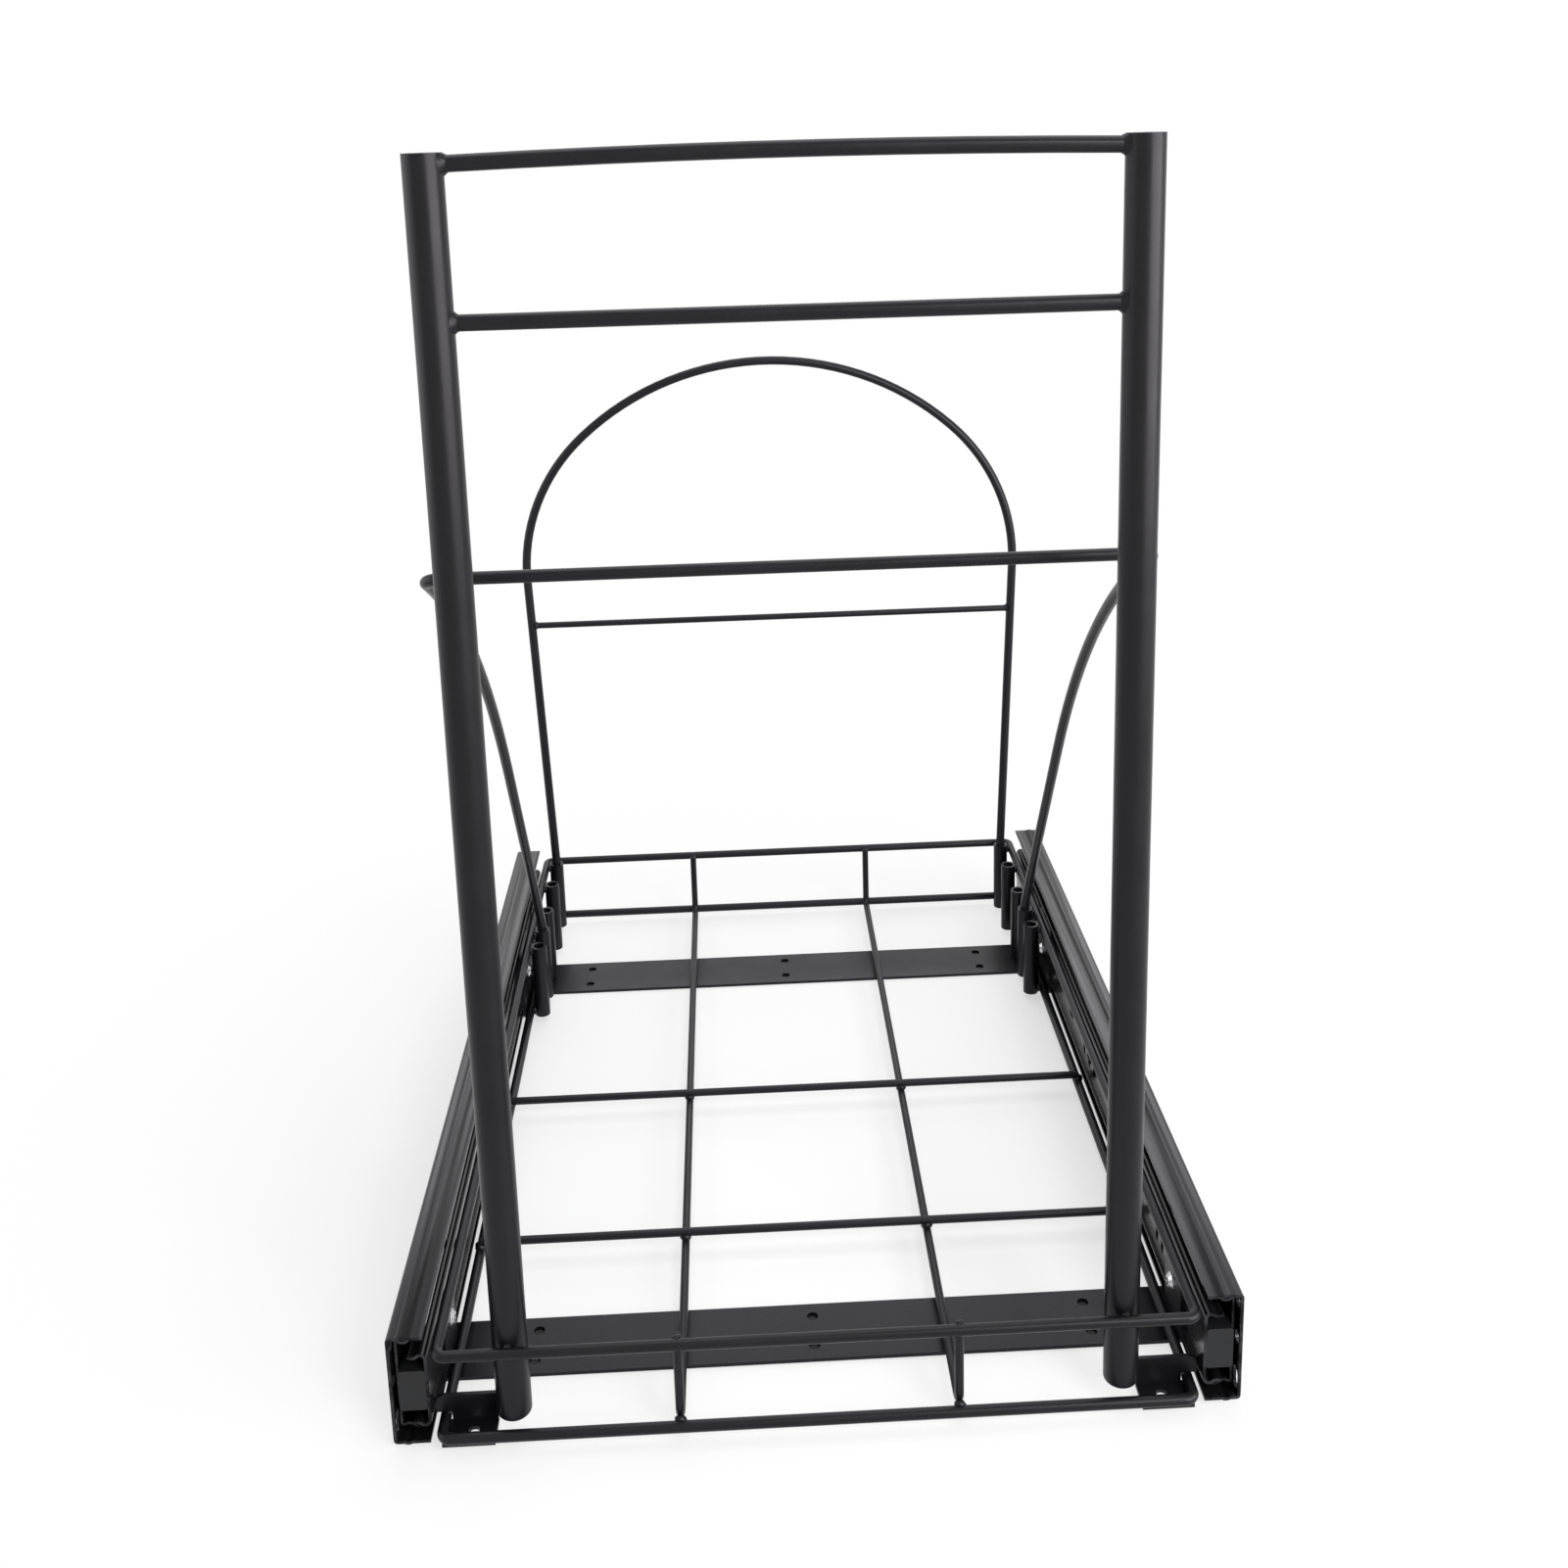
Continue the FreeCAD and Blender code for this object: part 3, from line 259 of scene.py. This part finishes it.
FINISHES = {
    "black_coat": powder_coat("black_powder", POWDER_DARK, POWDER_LIGHT, 0.32, 0.22),
    "black_rail": rail_coat(),
    "cage_steel": bright_metal("cage_sheet", (0.15, 0.15, 0.155), (0.24, 0.24, 0.25), 0.38, 900.0),
    "ball_steel": bright_metal("ball_steel", (0.55, 0.55, 0.56), (0.7, 0.7, 0.72), 0.14, 600.0),
    "zinc": bright_metal("screw_zinc", (0.5, 0.5, 0.52), (0.72, 0.72, 0.75), 0.26, 1200.0),
    "grey_plastic": moulded("block_plastic", (0.009, 0.0093, 0.0102), (0.013, 0.0133, 0.0145), 0.36),
    "black_plastic": moulded("plug_plastic", (0.012, 0.012, 0.013), (0.018, 0.018, 0.019), 0.5),
    "black_rubber": moulded("buffer_rubber", (0.014, 0.014, 0.014), (0.022, 0.022, 0.022), 0.7),
}

for entry in frame["record"]["subparts"]:
    mesh = NODES[entry["node"]].data
    mesh.materials.clear()
    mesh.materials.append(FINISHES[entry["material_slot"]])


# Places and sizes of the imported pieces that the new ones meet

FRAME_WIRE_RADIUS = 2.1 * MM
HOOP_BAR_RADIUS = 1.75 * MM
front_y = reach("basket_top_wire", Y)[0] + FRAME_WIRE_RADIUS
rear_y = reach("basket_top_wire", Y)[1] - FRAME_WIRE_RADIUS
side_x = reach("basket_top_wire", X)[1] - FRAME_WIRE_RADIUS
top_z = middle("basket_top_wire").z
low_z = middle("basket_bottom_wire").z
grid_x = middle("floor_wire_right").x
cross_ys = [middle("cross_wire_front").y, middle("cross_wire_rear").y]
crossing_z = (middle("cross_wire_front").z + low_z) / 2
tube_x, tube_y = middle("door_tube_right").x, middle("door_tube_right").y
tube_radius = half_size("door_tube_right", X)
tube_top = reach("door_tube_right", Z)[1]
bar_radius = half_size("lower_door_bar", Z)
top_bar_z = reach("top_door_bar", Z)[0] + bar_radius
lower_bar_z = middle("lower_door_bar").z


# Surfaces of new pieces, as grids of points

BEAD_ROWS, BEAD_COLUMNS = 9, 14
COLLAR_ROWS, COLLAR_COLUMNS = 7, 20
SADDLE_ROWS, SADDLE_COLUMNS = 8, 28
# Where the seeds of beads start, and how far a seed moves on from one bead or fillet to the next
BEAD_SEED_START, BEAD_SEED_STEP = 0.6, 1.7
FILLET_SEED_STEP = 2.1
# A door bar's fillet stays a little below the tube's top, starts just inside the tube's face, and
# narrows to this share of the bar's radius
FILLET_BELOW_TOP = 0.3 * MM
FILLET_SINK = 0.05 * MM
FILLET_END = 0.97
FILLET_RISE, FILLET_LENGTH = 1.2 * MM, 1.9 * MM
# A hoop bar's collar starts inside the hoop's wire, and narrows to this share of the bar's radius
COLLAR_SINK = 0.4 * MM
COLLAR_END = 0.96
COLLAR_RISE, COLLAR_LENGTH = 1.1 * MM, 2.0 * MM


def frame_of(direction):
    """Three unit vectors, the last along a direction."""
    along = np.asarray(direction, float)
    along = along / np.linalg.norm(along)
    upright = abs(along[Z]) >= 0.9
    helper = np.array([1.0, 0.0, 0.0]) if upright else np.array([0.0, 0.0, 1.0])
    side = np.cross(helper, along)
    side /= np.linalg.norm(side)
    return np.stack([side, np.cross(along, side), along])


def grid_angles(columns):
    """Angles once round, as one row."""
    return np.linspace(0, FULL_TURN, columns, endpoint=False)[None, :]


def bead_points(centre, direction, radii, seed):
    """Weld bead: a ball squashed to three radii about a direction, whose surface swells and dips by
    a sum of two sines of its angles, so that each bead differs a little."""
    rise = np.linspace(0, math.pi, BEAD_ROWS)[:, None]
    turn = grid_angles(BEAD_COLUMNS)
    lumps = 0.09 * np.sin(3 * turn + seed) * np.sin(2 * rise + seed)
    ripples = 0.06 * np.sin(5 * turn - 2 * seed)
    swell = 1 + (lumps + ripples) * np.sin(rise)
    ball = np.stack([np.sin(rise) * np.cos(turn) * radii[X] * swell,
                     np.sin(rise) * np.sin(turn) * radii[Y] * swell,
                     np.cos(rise) * radii[Z] * np.ones_like(turn)], axis=-1)
    return ball @ frame_of(direction) + np.asarray(centre, float)


def collar_points(start, direction, inner, outer, length, seed):
    """Weld fillet round a bar's end: a ring that narrows from an outer to an inner radius along a
    direction by a quarter sine, with its edge waved by sines of the angle round it."""
    along = np.linspace(0, 1, COLLAR_ROWS)[:, None]
    turn = grid_angles(COLLAR_COLUMNS)
    wave = 1 + 0.12 * np.sin(3 * turn + seed) + 0.06 * np.sin(7 * turn + 2 * seed)
    fall = 1 - np.sin(along * math.pi / 2)
    radius = inner * COLLAR_END + (outer - inner) * wave * fall
    ring = np.stack([radius * np.cos(turn), radius * np.sin(turn),
                     along * length * np.ones_like(turn)], axis=-1)
    return ring @ frame_of(direction) + np.asarray(start, float)


def saddle_points(sign, height, outer, length, seed):
    """Weld fillet between a bar and a tube: a ring that starts on the tube's round face at an outer
    radius about the bar, and narrows to the bar by a quarter sine as it goes along the bar. Its edge
    is waved by sines of the angle round it, and it stays below the tube's top."""
    along = np.linspace(0, 1, SADDLE_ROWS)[:, None]
    turn = grid_angles(SADDLE_COLUMNS)
    wave = 1 + 0.1 * np.sin(3 * turn + seed) + 0.06 * np.sin(7 * turn + 2 * seed)
    fall = 1 - np.sin(along * math.pi / 2)
    radius = bar_radius * FILLET_END + (outer - bar_radius) * wave * fall
    forwards = radius * np.cos(turn)
    upwards = np.minimum(radius * np.sin(turn), tube_top - FILLET_BELOW_TOP - height)
    face = np.sqrt(tube_radius ** 2 - forwards[:1] ** 2) - FILLET_SINK
    inwards = face * (1 - along) + (tube_radius + length) * along
    return np.stack([sign * (tube_x - inwards), tube_y + forwards, height + upwards], axis=-1)


def grid_faces(rows, columns):
    """Quads of a grid of rows by columns that is joined round across."""
    row = np.arange(rows - 1)[:, None]
    column = np.arange(columns)[None, :]
    first = row * columns + column
    second = row * columns + (column + 1) % columns
    return np.stack([first, second, second + columns, first + columns], axis=-1).reshape(-1, 4)


# Pieces made of those surfaces


def new_piece(name, points, faces, body, slot, smooth=True):
    """Mesh object from arrays of points and faces, with a finish, riding on a body."""
    mesh = bpy.data.meshes.new(name)
    mesh.from_pydata(points.tolist(), [], [list(face) for face in faces])
    mesh.validate()
    mesh.materials.append(FINISHES[slot])
    mesh.polygons.foreach_set("use_smooth", np.full(len(mesh.polygons), smooth))
    mesh.update()
    piece = bpy.data.objects.new(name, mesh)
    scene.collection.objects.link(piece)
    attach(piece, body)
    return piece


def piece_of_grids(name, body, grids, turned=()):
    """Several grids of one size as one coated piece. A turned grid has its faces the other way."""
    rows, columns = grids[0].shape[:2]
    faces = []
    for number in range(len(grids)):
        quads = grid_faces(rows, columns)
        quads = quads[:, ::-1] if number in turned else quads
        faces.append(quads + number * rows * columns)
    points = np.concatenate([grid.reshape(-1, 3) for grid in grids])
    return new_piece(name, points, np.concatenate(faces), body, "black_coat")


def close_poles(piece):
    """Merges the doubled points at a bead's poles and turns its faces outwards."""
    work = bmesh.new()
    work.from_mesh(piece.data)
    bmesh.ops.remove_doubles(work, verts=work.verts, dist=1e-6)
    bmesh.ops.recalc_face_normals(work, faces=work.faces)
    work.to_mesh(piece.data)
    work.free()


def weld_beads(name, centres, radii, direction):
    """Beads of one size as one piece on the basket. Radii are in millimetres."""
    radii = [radius * MM for radius in radii]
    beads = [bead_points(centre, direction, radii, BEAD_SEED_STEP * number + BEAD_SEED_START)
             for number, centre in enumerate(centres)]
    close_poles(piece_of_grids(name, "basket", beads))


# Weld beads of the basket

ALONG_Y, ALONG_Z = (0, 1, 0), (0, 0, 1)

# How far beads stand inwards of the front and rear wires, or over the bottom wire
TOP_BEAD_INSET = 1.6 * MM
LOW_BEAD_INSET = 2.2 * MM
LOW_BEAD_LIFT = 0.6 * MM
TUBE_BEAD_INSET = 0.3 * MM

# Distances of the sleeves' centres ahead of the rearmost one, and the sleeves' radius
SLEEVES_AHEAD = (0, 27 * MM, 59 * MM, 80.8 * MM, 99 * MM)
SLEEVE_RADIUS = 4 * MM
SLEEVE_BEAD_STEP = 2.2 * MM
sleeve_ys = [reach("sleeves_right", Y)[1] - SLEEVE_RADIUS - ahead for ahead in SLEEVES_AHEAD]

# Where the bent floor wires meet the top and bottom wires
weld_beads("floor_wire_top_beads",
           [(sign * grid_x, y, top_z) for sign in SIGNS
            for y in (front_y + TOP_BEAD_INSET, rear_y - TOP_BEAD_INSET)],
           (2.5, 2.2, 2.6), ALONG_Z)
weld_beads("floor_wire_low_beads",
           [(sign * grid_x, y, low_z + LOW_BEAD_LIFT) for sign in SIGNS
            for y in (front_y + LOW_BEAD_INSET, rear_y - LOW_BEAD_INSET)],
           (2.4, 2.4, 1.9), ALONG_Y)
# Where the cross wires lie on the floor wires and the side wires
weld_beads("cross_wire_beads",
           [(x, y, crossing_z) for y in cross_ys for x in (-side_x, -grid_x, grid_x, side_x)],
           (2.5, 2.1, 2.5), ALONG_Y)
# Between the tubes and the top wire
weld_beads("tube_beads",
           [(sign * tube_x, front_y + FRAME_WIRE_RADIUS + TUBE_BEAD_INSET, top_z) for sign in SIGNS],
           (3.2, 1.8, 2.6), ALONG_Z)


# Weld fillets at the ends of the bars


def door_bar_fillets():
    """The four fillets where the two door bars meet the tubes, as one piece."""
    corners = [(sign, z) for sign in SIGNS for z in (top_bar_z, lower_bar_z)]
    outer = bar_radius + FILLET_RISE
    fillets = [saddle_points(sign, z, outer, FILLET_LENGTH, FILLET_SEED_STEP * number)
               for number, (sign, z) in enumerate(corners)]
    turned = [number for number, (sign, z) in enumerate(corners) if sign < 0]
    piece_of_grids("door_bar_fillets", "basket", fillets, turned)


def hoop_bar_collars():
    """The two fillets where the rear hoop's bar meets the hoop's legs, as one piece."""
    low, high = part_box("rear_hoop_bar")
    centre, radius = middle("rear_hoop_bar"), HOOP_BAR_RADIUS
    ends = [(low.x - COLLAR_SINK, 1), (high.x + COLLAR_SINK, -1)]
    collars = [collar_points((x, centre.y, centre.z), (step, 0, 0), radius, radius + COLLAR_RISE,
                             COLLAR_LENGTH, FILLET_SEED_STEP * number)
               for number, (x, step) in enumerate(ends)]
    piece_of_grids("hoop_bar_collars", "rear_hoop", collars)


door_bar_fillets()
hoop_bar_collars()

# Between the sleeves and the side wires
weld_beads("sleeve_beads",
           [(sign * (side_x - FRAME_WIRE_RADIUS), y + step, z) for sign in SIGNS for y in sleeve_ys
            for step in (-SLEEVE_BEAD_STEP, SLEEVE_BEAD_STEP) for z in (top_z, low_z)],
           (1.5, 1.3, 2.2), ALONG_Z)


# Painted shade: flat dark crosses on the rail screws' heads, in place of their recesses

CROSS_ARM, CROSS_HALF_WIDTH = 1.7 * MM, 0.51 * MM
CROSS_MIDDLE = 0.62
CROSS_RISE = 0.03 * MM
SCREW_HEAD_RADIUS = 3.5 * MM
SCREW_HEAD_FACE = 2.24 * MM


def driver_cross(centre, outwards):
    """Cross for a screw's driver recess: a flat plus outline on the head's face, whose middle stands
    proud by a hair so that the two faces don't lie in each other. Gives points and faces."""
    arm, half = CROSS_ARM, CROSS_HALF_WIDTH
    outline = np.array([(arm, -half), (arm, half), (half, half), (half, arm), (-half, arm),
                        (-half, half), (-arm, half), (-arm, -half), (-half, -half), (-half, -arm),
                        (half, -arm), (half, -half)])
    corners = len(outline)
    rings = [np.c_[outline * share, np.full(corners, lift)]
             for share, lift in ((1.0, 0.0), (CROSS_MIDDLE, CROSS_RISE))]
    points = np.concatenate(rings) @ frame_of(outwards) + np.asarray(centre, float)
    middle_face = list(range(2 * corners - 1, corners - 1, -1))
    return points, [list(face) for face in grid_faces(2, corners)] + [middle_face]


def rail_screw_cross_shades():
    """Painted shade: flat dark crosses on the heads of the four rail screws, as one piece."""
    low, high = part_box("rail_screws")
    points, faces = [], []
    for sign in SIGNS:
        face_x = sign * (reach("rear_bracket_right", X)[0] - SCREW_HEAD_FACE)
        for y in (low.y + SCREW_HEAD_RADIUS, high.y - SCREW_HEAD_RADIUS):
            cross, cross_faces = driver_cross((face_x, y, middle("rail_screws").z), (-sign, 0, 0))
            faces += [[index + len(points) * len(cross) for index in face] for face in cross_faces]
            points.append(cross)
    # The dark finish paints the shade of the recesses, which are not cut into the heads
    new_piece("rail_screw_cross_shades", np.concatenate(points), faces, "basket", "black_plastic", False)


rail_screw_cross_shades()


# Camera: solved from the photograph, for a square frame

FRAME_PIXELS = 1601
SENSOR_WIDTH = 36.0
CAMERA_YAW, CAMERA_PITCH, CAMERA_ROLL = -0.0331, -0.2205, -0.0280
FOCAL_PIXELS = 1664.94
CENTRE_ROW = 487.63
CAMERA_PLACE = (-0.02087, -0.71121, 0.47679)


def photo_camera():
    """Camera at the photograph's own viewing angle."""
    turn = Matrix.Rotation(CAMERA_YAW, 3, "Z") @ Matrix.Rotation(CAMERA_PITCH, 3, "X")
    right, forward, up = turn.col
    tilted_right = right * math.cos(CAMERA_ROLL) + up * math.sin(CAMERA_ROLL)
    tilted_up = up * math.cos(CAMERA_ROLL) - right * math.sin(CAMERA_ROLL)
    data = bpy.data.cameras.new("photo_camera")
    data.sensor_width = SENSOR_WIDTH
    data.lens = FOCAL_PIXELS * SENSOR_WIDTH / FRAME_PIXELS
    data.shift_y = (CENTRE_ROW - FRAME_PIXELS / 2) / FRAME_PIXELS
    camera = bpy.data.objects.new("photo_camera", data)
    matrix = Matrix((tilted_right, tilted_up, -forward)).transposed().to_4x4()
    matrix.translation = Vector(CAMERA_PLACE)
    camera.matrix_world = matrix
    scene.collection.objects.link(camera)
    scene.camera = camera


photo_camera()


# Floor, world and lamps

FLOOR_HALF = 6.0
FLOOR_Z = -0.2 * MM
# The floor's own colour, and the colour of the painted shade under the base plates
FLOOR_COLOUR, PLATE_SHADE_COLOUR = (0.9, 0.9, 0.9), (0.03, 0.03, 0.03)
FLOOR_ROUGHNESS = 0.9
# Share of plain white in the floor near the object and away from it, and the distances between them
NEAR_WHITE, FAR_WHITE = 0.55, 1.0
NEAR_DISTANCE, FAR_DISTANCE = 0.16, 0.42
# The painted shade patch under a base plate ends this far inside the plate's box
SHADE_PATCH_INSETS = {"X": 4 * MM, "Y": 1 * MM}
# Strength of the world's light in front and behind, and the directions along Y between them
FRONT_STRENGTH, REAR_STRENGTH = 0.08, 0.7
FRONT_DIRECTION, REAR_DIRECTION = -0.4, 0.9
# Name, place, target, width, height, power
LAMPS = (
    ("right_lamp", (1.0, -0.85, 0.44), (0.0, -0.19, 0.38), 1.4, 0.65, 21.0),
    ("left_lamp", (-1.4, -0.1, 0.5), (0.0, 0.0, 0.3), 1.3, 1.3, 6.0),
    ("top_lamp", (0.0, 0.3, 1.8), (0.0, 0.0, 0.1), 1.4, 1.4, 12.0),
    ("rear_lamp", (0.1, 1.4, 0.95), (0.0, 0.0, 0.05), 1.3, 0.5, 3.5),
    ("front_lamp", (0.6, -1.1, 1.03), (0.1, -0.19, 0.44), 0.5, 0.5, 9.0),
)


def seen_rays(tree):
    """Factor that is 1 for rays that show the background: camera, glossy and transmission rays."""
    path = tree.nodes.new("ShaderNodeLightPath").outputs
    reflected = join_values(tree, "MAXIMUM", path["Is Glossy Ray"], path["Is Transmission Ray"])
    return join_values(tree, "MAXIMUM", path["Is Camera Ray"], reflected)


def painted_plate_shade_mask(tree, place):
    """Mask of the painted shade: 1 on the floor right under the two base plates, and 0 elsewhere."""
    axes = tree.nodes.new("ShaderNodeSeparateXYZ")
    tree.links.new(place, axes.inputs["Vector"])
    masks = []
    for node in ("front_base_plate", "rear_base_plate"):
        bands = []
        for axis, inset in SHADE_PATCH_INSETS.items():
            low, high = reach(node, "XY".index(axis))
            band = tree.nodes.new("ShaderNodeMath")
            band.operation = "COMPARE"
            band.inputs[1].default_value = (low + high) / 2
            band.inputs[2].default_value = (high - low) / 2 - inset
            tree.links.new(axes.outputs[axis], band.inputs[0])
            bands.append(band.outputs["Value"])
        masks.append(join_values(tree, "MULTIPLY", *bands))
    return join_values(tree, "MAXIMUM", *masks)


def white_floor():
    """Pale floor that takes the object's shadow, fades to plain white away from it, and has painted
    shade under the base plates: a dark patch that their holes show."""
    mesh = bpy.data.meshes.new("floor")
    corners = [(x * FLOOR_HALF, y * FLOOR_HALF, FLOOR_Z)
               for x, y in ((-1, -1), (1, -1), (1, 1), (-1, 1))]
    mesh.from_pydata(corners, [], [(0, 1, 2, 3)])
    floor = bpy.data.objects.new("floor", mesh)
    scene.collection.objects.link(floor)
    material, tree, shader = new_finish("floor_white")
    shader.inputs["Roughness"].default_value = FLOOR_ROUGHNESS
    place = object_place(tree)
    # Painted shade: the floor is coloured dark under the base plates, and no white shows there
    shade = painted_plate_shade_mask(tree, place)
    colour = blend_colours(tree, shade, FLOOR_COLOUR, PLATE_SHADE_COLOUR)
    tree.links.new(colour, shader.inputs["Base Color"])
    length = tree.nodes.new("ShaderNodeVectorMath")
    length.operation = "LENGTH"
    tree.links.new(place, length.inputs[0])
    far = ramp(tree, length.outputs["Value"], NEAR_WHITE, FAR_WHITE, NEAR_DISTANCE, FAR_DISTANCE)
    bare = ramp(tree, shade, 1.0, 0.0, 0.0, 1.0)
    clear = join_values(tree, "MULTIPLY", join_values(tree, "MULTIPLY", seen_rays(tree), far), bare)
    white = tree.nodes.new("ShaderNodeEmission")
    white.inputs["Color"].default_value = WHITE
    mix = tree.nodes.new("ShaderNodeMixShader")
    tree.links.new(clear, mix.inputs["Fac"])
    tree.links.new(shader.outputs["BSDF"], mix.inputs[1])
    tree.links.new(white.outputs["Emission"], mix.inputs[2])
    tree.links.new(mix.outputs["Shader"], tree.nodes["Material Output"].inputs["Surface"])
    mesh.materials.append(material)


def white_world():
    """World that lights softly, more from behind than from in front, and is plain white where the
    camera or a reflection sees it."""
    world = bpy.data.worlds.new("studio")
    scene.world = world
    world.use_nodes = True
    tree = world.node_tree
    back = tree.nodes["Background"]
    back.inputs["Color"].default_value = WHITE
    place = tree.nodes.new("ShaderNodeTexCoord")
    axes = tree.nodes.new("ShaderNodeSeparateXYZ")
    tree.links.new(place.outputs["Generated"], axes.inputs["Vector"])
    light = ramp(tree, axes.outputs["Y"], FRONT_STRENGTH, REAR_STRENGTH,
                 FRONT_DIRECTION, REAR_DIRECTION)
    mix = tree.nodes.new("ShaderNodeMix")
    mix.inputs["B"].default_value = 1.0
    tree.links.new(seen_rays(tree), mix.inputs["Factor"])
    tree.links.new(light, mix.inputs["A"])
    tree.links.new(mix.outputs["Result"], back.inputs["Strength"])


def soft_lamp(name, place, target, width, height, power):
    """Rectangular lamp that faces a point."""
    data = bpy.data.lights.new(name, "AREA")
    data.shape = "RECTANGLE"
    data.size, data.size_y = width, height
    data.energy = power
    lamp = bpy.data.objects.new(name, data)
    lamp.location = place
    lamp.rotation_euler = (Vector(target) - Vector(place)).to_track_quat("-Z", "Y").to_euler()
    scene.collection.objects.link(lamp)


white_floor()
white_world()
for lamp in LAMPS:
    soft_lamp(*lamp)

scene.view_settings.view_transform = "Standard"

bpy.context.view_layer.update()
